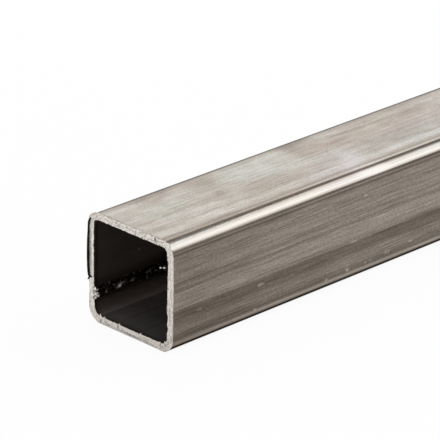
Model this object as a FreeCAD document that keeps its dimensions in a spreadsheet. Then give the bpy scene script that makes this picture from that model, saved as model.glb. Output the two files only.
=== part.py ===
import FreeCAD, Part
import Sketcher
import math
import os
from enum import IntEnum

# Square steel tube: strip rolled to a square, its edges welded in one seam, cut to length.
# It lies along X, centred on X = 0 and Y = 0, and rests on its underside at Z = 0.
# All sizes are millimetres.

SIZES = [
    ("side", 25.4, "outside width and height, a 1 inch tube"),
    ("wall", 1.65, "wall thickness, 16 gauge strip"),
    ("corner_radius", 3.3, "outside corner radius, twice the wall as rolled"),
    ("length", 304.8, "cut length, 12 inches"),
    ("flash_width", 2.8, "weld flash inside the tube, width at the wall"),
    ("flash_height", 0.7, "weld flash, how far it stands into the hollow"),
    ("flash_level", 6.5, "height of the weld seam above the underside"),
]


class Spot(IntEnum):
    """Which point of a sketch element a constraint takes."""

    START = 1
    END = 2
    CENTRE = 3


class Datum(IntEnum):
    """The numbers that a sketch gives its own origin and upright axis."""

    ORIGIN = -1
    UPRIGHT_AXIS = -2


def add_sheet(doc):
    """Puts the driving sizes in a sheet and returns them by name as well."""
    sheet = doc.addObject("Spreadsheet::Sheet", "Sizes")
    for row, (alias, value, note) in enumerate(SIZES, start=1):
        sheet.set(f"A{row}", alias)
        sheet.set(f"B{row}", str(value))
        sheet.setAlias(f"B{row}", alias)
        sheet.set(f"C{row}", note)
    doc.recompute()
    return {alias: value for alias, value, note in SIZES}


def add_section_sketch(body, name):
    """Adds a sketch on the plane across the tube: sketch x is Y, sketch y is Z."""
    sketch = body.newObject("Sketcher::SketchObject", name)
    plane = next(item for item in body.Origin.OriginFeatures if item.Role == "YZ_Plane")
    sketch.AttachmentSupport = [(plane, "")]
    sketch.MapMode = "FlatFace"
    return sketch


def tie(sketch, kind, *elements):
    """Adds one constraint between the elements and returns its number."""
    return sketch.addConstraint(Sketcher.Constraint(kind, *elements))


def tie_sized(sketch, name, expression, kind, *elements):
    """Adds a named dimension at its first value and binds it to the sheet."""
    number = tie(sketch, kind, *elements)
    sketch.renameConstraint(number, name)
    sketch.setExpression(f"Constraints.{name}", expression)


def add_line(sketch, start, end):
    """Draws a line between two (x, y) points and returns its number."""
    return sketch.addGeometry(
        Part.LineSegment(FreeCAD.Vector(*start, 0), FreeCAD.Vector(*end, 0)), False
    )


def add_arc(sketch, centre, radius, start_degrees, end_degrees):
    """Draws a counter-clockwise arc and returns its number."""
    circle = Part.Circle(FreeCAD.Vector(*centre, 0), FreeCAD.Vector(0, 0, 1), radius)
    arc = Part.ArcOfCircle(circle, math.radians(start_degrees), math.radians(end_degrees))
    return sketch.addGeometry(arc, False)


def add_rounded_square(sketch, name, middle, width, radius, width_expression, radius_expression):
    """Draws a rounded square around the middle point, counter-clockwise from its underside."""
    middle_height = sketch.getPoint(middle, Spot.START).y
    half = width / 2
    flat = half - radius
    low = middle_height - half
    high = middle_height + half
    low_centre = middle_height - flat
    high_centre = middle_height + flat

    underside = add_line(sketch, (-flat, low), (flat, low))
    low_right = add_arc(sketch, (flat, low_centre), radius, -90, 0)
    right = add_line(sketch, (half, low_centre), (half, high_centre))
    high_right = add_arc(sketch, (flat, high_centre), radius, 0, 90)
    top = add_line(sketch, (flat, high), (-flat, high))
    high_left = add_arc(sketch, (-flat, high_centre), radius, 90, 180)
    left = add_line(sketch, (-half, high_centre), (-half, low_centre))
    low_left = add_arc(sketch, (-flat, low_centre), radius, 180, 270)

    loop = [underside, low_right, right, high_right, top, high_left, left, low_left]
    for here, following in zip(loop, loop[1:] + loop[:1]):
        tie(sketch, "Tangent", here, Spot.END, following, Spot.START)
    for line in (underside, top):
        tie(sketch, "Horizontal", line)
    for line in (left, right):
        tie(sketch, "Vertical", line)
    for corner in (high_right, high_left, low_left):
        tie(sketch, "Equal", low_right, corner)
    tie(sketch, "Symmetric", low_right, Spot.CENTRE, high_left, Spot.CENTRE, middle, Spot.START)
    tie_sized(sketch, f"{name}_width", width_expression,
              "DistanceX", left, Spot.START, right, Spot.START, width)
    tie_sized(sketch, f"{name}_height", width_expression,
              "DistanceY", underside, Spot.START, top, Spot.START, width)
    tie_sized(sketch, f"{name}_radius", radius_expression, "Radius", low_right, radius)


def add_tube_section(body, size):
    """The wall's section: two rounded squares about one middle, so the wall is even all round."""
    sketch = add_section_sketch(body, "wall_section")
    middle_height = size["side"] / 2
    middle = sketch.addGeometry(Part.Point(FreeCAD.Vector(0, middle_height, 0)), True)
    tie(sketch, "PointOnObject", middle, Spot.START, Datum.UPRIGHT_AXIS)
    tie_sized(sketch, "middle_height", "Sizes.side / 2",
              "DistanceY", Datum.ORIGIN, Spot.START, middle, Spot.START, middle_height)

    add_rounded_square(
        sketch, "outer", middle, size["side"], size["corner_radius"],
        "Sizes.side", "Sizes.corner_radius",
    )
    add_rounded_square(
        sketch, "inner", middle,
        size["side"] - 2 * size["wall"], size["corner_radius"] - size["wall"],
        "Sizes.side - 2 * Sizes.wall", "Sizes.corner_radius - Sizes.wall",
    )
    return sketch


def add_flash_section(body, size):
    """The weld flash's section: a low round ridge on the inside of the +Y wall.

    The ridge is rooted half-way into the wall, so the two are one solid.
    """
    sketch = add_section_sketch(body, "flash_section")
    face = size["side"] / 2 - size["wall"]
    root = size["side"] / 2 - size["wall"] / 2
    half_width = size["flash_width"] / 2
    low = size["flash_level"] - half_width
    high = size["flash_level"] + half_width
    height = size["flash_height"]
    radius = (half_width ** 2 + height ** 2) / (2 * height)
    half_turn = math.degrees(math.atan2(half_width, radius - height))
    ridge_centre = (face + radius - height, size["flash_level"])

    ridge = add_arc(sketch, ridge_centre, radius, 180 - half_turn, 180 + half_turn)
    underside = add_line(sketch, (face, low), (root, low))
    rooted = add_line(sketch, (root, low), (root, high))
    topside = add_line(sketch, (root, high), (face, high))

    loop = [ridge, underside, rooted, topside]
    for here, following in zip(loop, loop[1:] + loop[:1]):
        tie(sketch, "Coincident", here, Spot.END, following, Spot.START)
    tie(sketch, "Horizontal", underside)
    tie(sketch, "Horizontal", topside)
    tie(sketch, "Vertical", rooted)
    tie(sketch, "Vertical", ridge, Spot.START, ridge, Spot.END)
    tie_sized(sketch, "root", "Sizes.side / 2 - Sizes.wall / 2",
              "DistanceX", Datum.ORIGIN, Spot.START, rooted, Spot.START, root)
    tie_sized(sketch, "wall_face", "Sizes.side / 2 - Sizes.wall",
              "DistanceX", Datum.ORIGIN, Spot.START, ridge, Spot.START, face)
    tie_sized(sketch, "level", "Sizes.flash_level",
              "DistanceY", Datum.ORIGIN, Spot.START, ridge, Spot.CENTRE, size["flash_level"])
    tie_sized(sketch, "width", "Sizes.flash_width",
              "DistanceY", rooted, Spot.START, rooted, Spot.END, size["flash_width"])
    tie_sized(
        sketch, "ridge_radius",
        "(Sizes.flash_width ^ 2 / 4 + Sizes.flash_height ^ 2) / (2 * Sizes.flash_height)",
        "Radius", ridge, radius,
    )
    return sketch


def add_full_length_pad(body, name, sketch, size):
    """Runs a section along the whole tube, half of it each side of the origin."""
    pad = body.newObject("PartDesign::Pad", name)
    pad.Profile = sketch
    pad.SideType = "Symmetric"
    pad.Length = size["length"]
    pad.setExpression("Length", "Sizes.length")
    sketch.Visibility = False
    return pad


def check_model(doc, bodies):
    """Stops if any object failed, or any sub-part is null, broken or not one solid."""
    for item in doc.Objects:
        if "Invalid" in item.State or "Error" in item.State:
            raise RuntimeError(f"{item.Label} is {item.State}")
    for body in bodies:
        shape = body.Shape
        if shape.isNull() or not shape.isValid():
            raise RuntimeError(f"{body.Label} has no valid shape")
        if len(shape.Solids) != 1:
            raise RuntimeError(f"{body.Label} has {len(shape.Solids)} solids")


os.makedirs("parts", exist_ok=True)
doc = FreeCAD.newDocument("square_tube")
size = add_sheet(doc)

tube = doc.addObject("PartDesign::Body", "square_tube")
tube.Label = "square_tube"
tube.Placement = FreeCAD.Placement()

wall_section = add_tube_section(tube, size)
wall_pad = add_full_length_pad(tube, "wall_length", wall_section, size)
doc.recompute()
bare_volume = tube.Shape.Volume

flash_section = add_flash_section(tube, size)
flash_pad = add_full_length_pad(tube, "flash_length", flash_section, size)
tube.Tip = flash_pad
doc.recompute()

check_model(doc, [tube])
if tube.Shape.Volume <= bare_volume:
    raise RuntimeError("the weld flash adds nothing to the tube")

tube.Shape.exportStep(f"parts/{tube.Label}.step")
box = tube.Shape.BoundBox
print(f"{tube.Label}: {box.XLength:.2f} x {box.YLength:.2f} x {box.ZLength:.2f} mm, "
      f"{tube.Shape.Volume:.0f} mm3, {len(tube.Shape.Faces)} faces")
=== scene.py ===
"""A short length of square steel tube, sawn at both ends, on a pale studio floor."""

import logging
import math
from collections.abc import Sequence
from dataclasses import dataclass, field
from enum import Enum, IntEnum
from typing import ClassVar

import bpy
import numpy as np
from mathutils import Matrix, Vector, noise


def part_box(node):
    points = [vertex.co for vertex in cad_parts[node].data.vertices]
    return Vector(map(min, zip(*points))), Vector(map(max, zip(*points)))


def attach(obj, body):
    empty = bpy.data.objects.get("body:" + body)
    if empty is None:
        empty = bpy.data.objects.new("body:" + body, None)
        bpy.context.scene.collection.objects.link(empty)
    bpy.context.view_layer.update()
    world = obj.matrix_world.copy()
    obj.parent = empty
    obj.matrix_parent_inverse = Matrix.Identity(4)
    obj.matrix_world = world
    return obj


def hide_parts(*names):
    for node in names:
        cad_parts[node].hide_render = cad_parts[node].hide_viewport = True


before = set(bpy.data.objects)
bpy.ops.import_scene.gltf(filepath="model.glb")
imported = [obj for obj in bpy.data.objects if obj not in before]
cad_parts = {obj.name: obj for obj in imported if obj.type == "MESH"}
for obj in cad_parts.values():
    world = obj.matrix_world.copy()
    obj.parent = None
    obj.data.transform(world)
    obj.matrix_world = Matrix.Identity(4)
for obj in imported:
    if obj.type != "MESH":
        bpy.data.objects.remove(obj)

logging.basicConfig(level=logging.INFO, format="%(levelname)s %(message)s")
log = logging.getLogger("square_tube")

MM = 0.001
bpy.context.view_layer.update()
TUBE_NODE = "square_tube"
STRIP_MAP = "strip"
SHARP_ANGLE = math.radians(40)
NOISE_ROUGHNESS = 0.6
BLENDED = {"data_type": "RGBA", "clamp_result": True}
MULTIPLIED = BLENDED | {"blend_type": "MULTIPLY"}

Node = bpy.types.Node
Settings = dict[str, object]
Inputs = dict[str | int, object]
Source = Node | bpy.types.NodeSocket | float
Pair = tuple[float, float]
Stops = tuple[tuple[float, float], ...]


class WallFace(IntEnum):
    """Material slots of the tube's mesh."""

    TOP = 0
    SIDES = 1
    BORE = 2
    SAWN = 3


class TubeEnd(Enum):
    """One end of the tube: the sign of its X, and where its rim starts on the strip, in mm."""

    NEAR = (-1, 0.0)
    FAR = (1, 200.0)

    @property
    def sign(self) -> int:
        """Which way the end looks along X."""
        return self.value[0]

    @property
    def strip_start(self) -> float:
        """Added to the rim's girth, so that the two ends aren't torn alike."""
        return self.value[1]


def linear_colour(code: str) -> tuple[float, float, float, float]:
    """Turns an sRGB hex colour to the linear colour that a shader takes.

    Args:
        code: Six hex digits after a hash, such as "#A09A92".

    Returns:
        Linear red, green and blue, and an alpha of 1.
    """
    parts = [int(code[i:i + 2], 16) / 255 for i in (1, 3, 5)]
    red, green, blue = (p / 12.92 if p <= 0.04045 else ((p + 0.055) / 1.055) ** 2.4 for p in parts)
    return red, green, blue, 1.0


def face_direction(azimuth: float, elevation: float) -> Vector:
    """Gives the direction at so many degrees from +X towards +Y and above the floor."""
    turn, rise = math.radians(azimuth), math.radians(elevation)
    return Vector((math.cos(turn) * math.cos(rise), math.sin(turn) * math.cos(rise), math.sin(rise)))


def space_rings(length: float, first: float, reach: float, step: float, count: int) -> np.ndarray:
    """Spaces the rings of a mesh along the tube, close together at both its ends.

    Args:
        length: The tube's length.
        first: How far from each end the first ring lies.
        reach: How far from each end the rings lie close together.
        step: Distance between them there.
        count: How many rings the rest has.

    Returns:
        The X of each ring.
    """
    half = length / 2
    close = np.arange(first, reach - step / 2, step)
    return np.concatenate([close - half, np.linspace(reach - half, half - reach, count), half - close[::-1]])


def join_rings(rings: int, count: int, closed: bool = False) -> list[tuple[int, ...]]:
    """Joins rings of points with four-sided faces.

    Args:
        rings: How many rings there are.
        count: How many points each has.
        closed: Whether the last ring is joined to the first.

    Returns:
        The numbers of each face's points.
    """
    faces = []
    for ring in range(rings if closed else rings - 1):
        here, there = ring * count, (ring + 1) % rings * count
        for k in range(count):
            beside = (k + 1) % count
            faces.append((here + k, there + k, there + beside, here + beside))
    return faces


def add_object(name: str, data: bpy.types.ID) -> bpy.types.Object:
    """Adds an object with its mesh, lamp or lens to the scene.

    Args:
        name: The object's name.
        data: The mesh, lamp or lens.

    Returns:
        The new object.
    """
    made = bpy.data.objects.new(name, data)
    bpy.context.scene.collection.objects.link(made)
    return made


def make_piece(
    name: str,
    points: np.ndarray,
    faces: Sequence[Sequence[int]],
    slots: Sequence[int],
    places: Sequence[Pair],
) -> bpy.types.Object:
    """Makes an object from a drawn mesh.

    Args:
        name: The piece's name.
        points: Its points, in metres.
        faces: The numbers of each face's points.
        slots: Each face's material slot.
        places: For each corner of each face, its place on the flat strip, in mm.

    Returns:
        The new object, in the scene.
    """
    mesh = bpy.data.meshes.new(name)
    mesh.from_pydata([tuple(point) for point in points], [], [tuple(face) for face in faces])
    mesh.polygons.foreach_set("material_index", [int(slot) for slot in slots])
    mesh.polygons.foreach_set("use_smooth", [True] * len(faces))
    layer = mesh.uv_layers.new(name=STRIP_MAP)
    layer.data.foreach_set("uv", np.array(places, np.float32).ravel())
    mesh.update()
    mesh.set_sharp_from_angle(angle=SHARP_ANGLE)
    return add_object(name, mesh)


@dataclass(frozen=True)
class Mark:
    """A nick, stain or shine on a surface, drawn as a soft ellipse.

    Args:
        along: Where its middle lies in the surface's own coordinates, in mm.
        across: The same the other way.
        length: How far it goes each way from its middle.
        width: The same the other way.
        tone: Its brightness against the surface round it.
        lean: How far it is turned, in degrees.
        fade: The share of its reach over which it fades out.
    """

    along: float
    across: float
    length: float
    width: float
    tone: float
    lean: float = 0.0
    fade: float = 0.7


def lay_marks(fade: float, *rows: tuple[float, ...]) -> tuple[Mark, ...]:
    """Makes marks that fade alike, each from a row of its other values."""
    return tuple(Mark(*row, fade=fade) for row in rows)


@dataclass(frozen=True)
class Pattern:
    """A noise that lies on a surface.

    Args:
        size: Its length and width, in mm.
        depth: How far it lightens and darkens the surface, as a share of the tone.
        detail: How many finer layers it has.
        press: How deep it is pressed into the surface, in mm.
    """

    size: Pair
    depth: float = 0.0
    detail: float = 2.0
    press: float = 0.0


@dataclass(frozen=True)
class Painter:
    """Draws patterns that lie in millimetres on a surface, in the node tree of its material.

    Args:
        tree: The node tree.
    """

    tree: bpy.types.NodeTree

    @classmethod
    def start(cls, owner: bpy.types.Material | bpy.types.World) -> "Painter":
        """Starts afresh on a material or on the world.

        Args:
            owner: The material or world.

        Returns:
            Its painter.
        """
        owner.use_nodes = True
        owner.node_tree.nodes.clear()
        return cls(owner.node_tree)

    def add(self, kind: str, settings: Settings | None = None, inputs: Inputs | None = None) -> Node:
        """Adds one node, sets it up and fills its sockets.

        Args:
            kind: The node's type without its first word, such as "TexNoise".
            settings: The node's own settings by name.
            inputs: For each input socket that is in use, by name or number, a value, a hex colour,
                an output to link, or a node, whose first output in use is linked.

        Returns:
            The new node.
        """
        node = self.tree.nodes.new("ShaderNode" + kind)
        for name, value in (settings or {}).items():
            setattr(node, name, value)
        named = {socket.name: socket for socket in reversed(node.inputs) if socket.enabled}
        for name, value in (inputs or {}).items():
            socket = node.inputs[name] if isinstance(name, int) else named[name]
            if isinstance(value, Node):
                value = next(output for output in value.outputs if output.enabled)
            if isinstance(value, bpy.types.NodeSocket):
                self.tree.links.new(value, socket)
            else:
                socket.default_value = linear_colour(value) if isinstance(value, str) else value
        return node

    def product(self, *values: Source) -> Source:
        """Multiplies numbers.

        Args:
            values: The numbers.

        Returns:
            Their product.
        """
        result, *others = values
        for value in others:
            result = self.add("Math", {"operation": "MULTIPLY"}, {0: result, 1: value})
        return result

    def draw(self, place: Source, pattern: Pattern) -> Node:
        """Draws a pattern.

        Args:
            place: The surface's coordinates, in mm.
            pattern: The pattern.

        Returns:
            The noise, from 0 to 1.
        """
        length, width = pattern.size
        scaled = self.add("Mapping", inputs={
            "Vector": place, "Location": (length, width, 0.0), "Scale": (1 / length, 1 / width, 1.0)})
        return self.add("TexNoise", {"noise_dimensions": "2D"}, {
            "Vector": scaled, "Scale": 1.0, "Detail": pattern.detail, "Roughness": NOISE_ROUGHNESS})

    def spread(self, value: Source, low: float, high: float, start: float = 0.3, end: float = 0.7) -> Node:
        """Spreads a value over a range, that of a noise from the middle part that it mostly keeps to."""
        return self.add("MapRange", inputs={
            "Value": value, "From Min": start, "From Max": end, "To Min": low, "To Max": high})

    def vary(self, tone: Source, drawn: Source, depth: float, share: Source | None = None) -> Node:
        """Lets a drawn pattern lighten and darken a tone.

        Args:
            tone: The tone so far.
            drawn: The pattern, from 0 to 1.
            depth: How far it moves the tone, as a share of it.
            share: Where given, how much of that depth counts at each place.

        Returns:
            The new tone.
        """
        change = self.spread(drawn, -depth, depth)
        if share is not None:
            change = self.product(change, share)
        return self.add("Math", {"operation": "MULTIPLY_ADD"}, {0: tone, 1: change, 2: tone})

    def grade(self, value: Source, stops: Stops) -> Source:
        """Draws a number along a line from a list of stops.

        Args:
            value: Where on the line.
            stops: Place and height of each stop, in order.

        Returns:
            The number there.
        """
        most = max(height for _, height in stops)
        greys = [(at, (height / most,) * 3 + (1.0,)) for at, height in stops]
        return self.product(self.shade(value, greys), most)

    def shade(self, value: Source, stops: Sequence[tuple[float, Sequence[float]]]) -> Node:
        """Draws a colour along a line from a list of stops.

        Args:
            value: Where on the line.
            stops: Place and linear colour of each stop, in order.

        Returns:
            The colour there.
        """
        low, high = stops[0][0], stops[-1][0]
        drawn = self.add("ValToRGB", inputs={0: self.spread(value, 0.0, 1.0, low, high)})
        places = drawn.color_ramp.elements
        while len(places) < len(stops):
            places.new(0.5)
        for element, (at, colour) in zip(places, stops):
            element.position = (at - low) / (high - low)
            element.color = colour
        return drawn

    def add_marks(self, tone: Source, place: Source, marks: Sequence[Mark]) -> Source:
        """Draws marks over a tone.

        Args:
            tone: The tone so far.
            place: The surface's coordinates, in mm.
            marks: The marks to draw.

        Returns:
            The new tone.
        """
        for mark in marks:
            own = self.add("Mapping", {"vector_type": "TEXTURE"}, {
                "Vector": place, "Location": (mark.along, mark.across, 0.0),
                "Rotation": (0.0, 0.0, math.radians(mark.lean)), "Scale": (mark.length, mark.width, 1.0)})
            far = self.add("VectorMath", {"operation": "LENGTH"}, {0: own})
            drawn = self.add("MapRange", {"interpolation_type": "SMOOTHSTEP"}, {
                "Value": far, "From Min": 1.0 - mark.fade, "To Min": mark.tone})
            tone = self.product(tone, drawn)
        return tone

    def shift(self, place: Source, size: Pair, reach: float) -> Node:
        """Shifts a place by noise, so that what is drawn there has uneven edges.

        Args:
            place: The surface's coordinates, in mm.
            size: Length and width of the noise, in mm.
            reach: How far it shifts, in mm.

        Returns:
            The shifted place.
        """
        length, width = size
        scaled = self.add("Mapping", inputs={"Vector": place, "Scale": (1 / length, 1 / width, 1.0)})
        drawn = self.add("TexNoise", {"noise_dimensions": "2D"}, {
            "Vector": scaled, "Scale": 1.0, "Detail": 3.0}).outputs["Color"]
        centred = self.add("VectorMath", {"operation": "SUBTRACT"}, {0: drawn, 1: (0.5, 0.5, 0.5)})
        return self.add("VectorMath", {"operation": "MULTIPLY_ADD"}, {
            0: centred, 1: (2 * reach, 2 * reach, 0.0), 2: place})


@dataclass(frozen=True)
class Finish:
    """A surface's finish."""

    name: ClassVar[str]

    def build(self) -> bpy.types.Material:
        """Makes the finish's material.

        Returns:
            The material.
        """
        made = bpy.data.materials.new(self.name)
        painter = Painter.start(made)
        place = painter.add("UVMap", {"uv_map": STRIP_MAP})
        painter.add("OutputMaterial", inputs={"Surface": self.paint(painter, place)})
        return made

    def paint(self, painter: Painter, place: Source) -> Node:
        """Draws the finish, given the place on the flat strip in mm, and returns its shader."""
        raise NotImplementedError


@dataclass(frozen=True)
class RolledSteel(Finish):
    """Cold-rolled mild steel strip, bare, as the forming rolls left it.

    The rolls draw fine lines along the tube and burnish its corners, so the flats are satin and
    streaked lengthwise, the top is clouded by handling and oil, and the corners shine. Much of the
    corners' shine and of the dark lines beside it is painted highlight and painted shade, and so is
    part of the open side's darkness.

    Args:
        shades: Its colour by tone: browner at the low tones, paler where it is burnished. The low and high
            tones also carry the painted shade and painted highlight.
        lines: The finest roll lines. The real ones are 0.05 mm wide, too fine to show, so they
            are drawn five times as wide.
        long_lines: Lines that run on for a hand's length.
        stripes: The broader roll stripes.
        clouds: The cloudy patches.
        blotches: The smaller blotches within them.
        grain: The pickled grain, drawn coarser than the real 0.1 mm.
        tones: Brightness across the strip: burnished corners, partly painted highlight; painted dark
            lines beside the top front corner's bright band and along the top back edge, painted
            shade; and the scraped band on the weld seam.
        drift: How far up the strip these tones lie along the tube, so that the painted highlight and
            shade lie where the corner's reflection falls at each run.
        bands: Brightness of the roll stripes of the open side, partly painted reflection and painted
            shade that darken the side, and a painted dark band in its low corner for the reflected
            contact shadow.
        roughness: Roughness across the strip, least on the corners.
        rough_clouds: How much rougher or smoother the clouds are.
        cloudiness: How clouded the steel is across the strip: the top lay open.
        fineness: How strongly the finest lines show across the strip: least on the corners.
        shine: How much it shines at a grazing look, across the strip: lowered on the low corner and the
            top back edge as painted shade.
        open_side: Where across the strip the open side lies.
        dullness: How much darker the open side is painted along the tube towards the near end: painted
            shade.
        edge_size: Length and width of the unevenness of the marks' edges.
        edge_reach: How far it shifts them.
        marks: Stains, scuffs and nicks.
        stains: Stains that turn the hue: the tint where they are strongest, and the stain.
    """

    shades: tuple[tuple[float, str], ...] = (
        (0, "#000000"), (0.25, "#5E544B"), (0.5, "#7F756C"), (0.75, "#978D83"), (1, "#A8A096"),
        (1.25, "#B5B1AA"), (1.5, "#C3C0BB"),
    )
    lines: Pattern = Pattern((12.0, 0.24), 0.2, press=0.005)
    long_lines: Pattern = Pattern((90.0, 0.45), 0.1)
    stripes: Pattern = Pattern((260.0, 1.6), 0.05)
    clouds: Pattern = Pattern((16.0, 6.0), 0.08, 4.0)
    blotches: Pattern = Pattern((5.0, 2.2), 0.12, 4.0)
    grain: Pattern = Pattern((0.7, 0.4), 0.13, press=0.004)
    tones: Stops = (
        (0, 1.12), (1.4, 1.12), (1.7, 0.95), (28, 0.9), (52.25, 0.8), (52.55, 0.483), (52.8, 0.938),
        (53.1, 1.5), (53.9, 1.153), (54.2, 1.303), (54.5, 0.866), (54.8, 0.109), (55.05, 0.149), (55.4, 1.34),
        (56.1, 0.619), (56.8, 0.871), (57.4, 1.207), (59.2, 1.335), (59.8, 0.905), (61.5, 1.022), (64, 1.029),
        (65.2, 0.967), (67.4, 1.1), (71, 1.017), (73.4, 1.1), (74.3, 0.988), (75, 0.717), (76, 0.95),
        (94.2, 0.95), (94.5, 1.12), (95.94, 1.12),
    )
    drift: Stops = ((0, 0.22), (45, 0.12), (62, 0), (310, 0))
    bands: Stops = (
        (27.2, 1), (28.6, 0.5), (30.2, 0.03), (30.6, 0.507), (30.9, 0.647), (31.2, 0.882), (31.6, 1.146),
        (31.9, 0.697), (32.15, 0.498), (33, 0.517), (33.5, 0.646), (34.5, 0.767), (35.4, 0.628), (36.2, 0.51),
        (38.5, 0.372), (38.9, 0.64), (40, 0.959), (42.2, 0.989), (42.9, 0.801), (43.5, 0.624), (44.2, 0.909),
        (44.9, 0.608), (45.4, 0.899), (47.2, 0.868), (48.6, 0.765), (50.2, 0.752), (51, 0.862), (51.6, 0.37),
        (52, 0.83), (52.3, 1.12), (52.45, 1.1), (52.6, 1),
    )
    roughness: Stops = (
        (0, 0.26), (1.6, 0.26), (1.8, 0.34), (26, 0.34), (27.2, 0.15), (32.2, 0.15), (33.4, 0.3), (50.6, 0.3),
        (51.4, 0.14), (55.8, 0.14), (57, 0.36), (74.6, 0.36), (75.6, 0.15), (80, 0.15), (81.5, 0.34),
        (94.1, 0.34), (94.3, 0.26), (95.94, 0.26),
    )
    rough_clouds: float = 0.05
    cloudiness: Stops = (
        (0, 0.5), (26, 0.5), (28, 0.3), (55.8, 0.3), (57, 1), (75, 1), (77, 0.5), (95.94, 0.5),
    )
    fineness: Stops = (
        (0, 0.75), (31.6, 0.75), (33, 1.4), (51, 1.4), (52.5, 0.3), (54.5, 0.3), (56.5, 1.2), (95.94, 0.75),
    )
    shine: Stops = (
        (0, 1), (26, 1), (28, 0.25), (30.7, 0.25), (31.2, 1), (75, 1), (75.6, 0.6), (78, 0.6), (80.4, 1),
        (95.94, 1),
    )
    open_side: Stops = ((28, 0), (31.6, 1), (51.6, 1), (52.4, 0))
    dullness: Stops = ((0, 0.2), (6, 0.24), (15, 0.2), (25, 0.15), (40, 0.06), (60, 0), (310, 0))
    edge_size: Pair = (2.5, 1.2)
    edge_reach: float = 0.25
    marks: tuple[Mark, ...] = ()
    stains: tuple[tuple[str, Mark], ...] = ()

    def paint(self, painter: Painter, place: Source) -> Node:
        """Draws bands, lines, clouds and marks on bare steel.

        Args:
            painter: The painter of its material.
            place: The place on the flat strip, in mm.

        Returns:
            The shader.
        """
        run, across, _ = painter.add("SeparateXYZ", inputs={0: place}).outputs
        lines, clouds, grain = (painter.draw(place, own) for own in (self.lines, self.clouds, self.grain))
        cloudy = painter.grade(across, self.cloudiness)
        fine = painter.grade(across, self.fineness)

        drift = painter.grade(run, self.drift)
        drifted = painter.add("Math", {"operation": "SUBTRACT"}, {0: across, 1: drift})
        tone = painter.product(painter.grade(drifted, self.tones), painter.grade(across, self.bands))
        tone = painter.vary(tone, lines, self.lines.depth, fine)
        for pattern in (self.long_lines, self.stripes):
            tone = painter.vary(tone, painter.draw(place, pattern), pattern.depth)
        tone = painter.vary(tone, grain, self.grain.depth, fine)
        tone = painter.vary(tone, clouds, self.clouds.depth, cloudy)
        tone = painter.vary(tone, painter.draw(place, self.blotches), self.blotches.depth, cloudy)
        # Painted shade: the open side darkens towards the near end.
        dull = painter.product(painter.grade(across, self.open_side), painter.grade(run, self.dullness))
        left = painter.add("Math", {"operation": "SUBTRACT"}, {0: 1.0, 1: dull})
        uneven = painter.shift(place, self.edge_size, self.edge_reach)
        tone = painter.add_marks(painter.product(tone, left), uneven, self.marks)

        colour = painter.shade(tone, [(at, linear_colour(code)) for at, code in self.shades])
        for tint, stain in self.stains:
            tinted = painter.add("Mix", MULTIPLIED, {"Factor": 1.0, "A": colour, "B": tint})
            clear = painter.add_marks(1.0, uneven, (stain,))
            colour = painter.add("Mix", BLENDED, {"Factor": clear, "A": tinted, "B": colour})
        rougher = painter.product(painter.spread(clouds, -self.rough_clouds, self.rough_clouds), cloudy)
        rough = painter.add("Math", inputs={0: painter.grade(across, self.roughness), 1: rougher})
        rolled = painter.add("Bump", inputs={
            "Distance": self.lines.press * MM, "Height": painter.product(lines, fine)})
        pickled = painter.add("Bump", inputs={
            "Distance": self.grain.press * MM, "Height": painter.product(grain, fine), "Normal": rolled})
        return painter.add("BsdfPrincipled", inputs={
            "Base Color": colour, "Metallic": 1.0, "Roughness": rough, "Normal": pickled,
            "Specular Tint": painter.grade(across, self.shine)})


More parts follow.
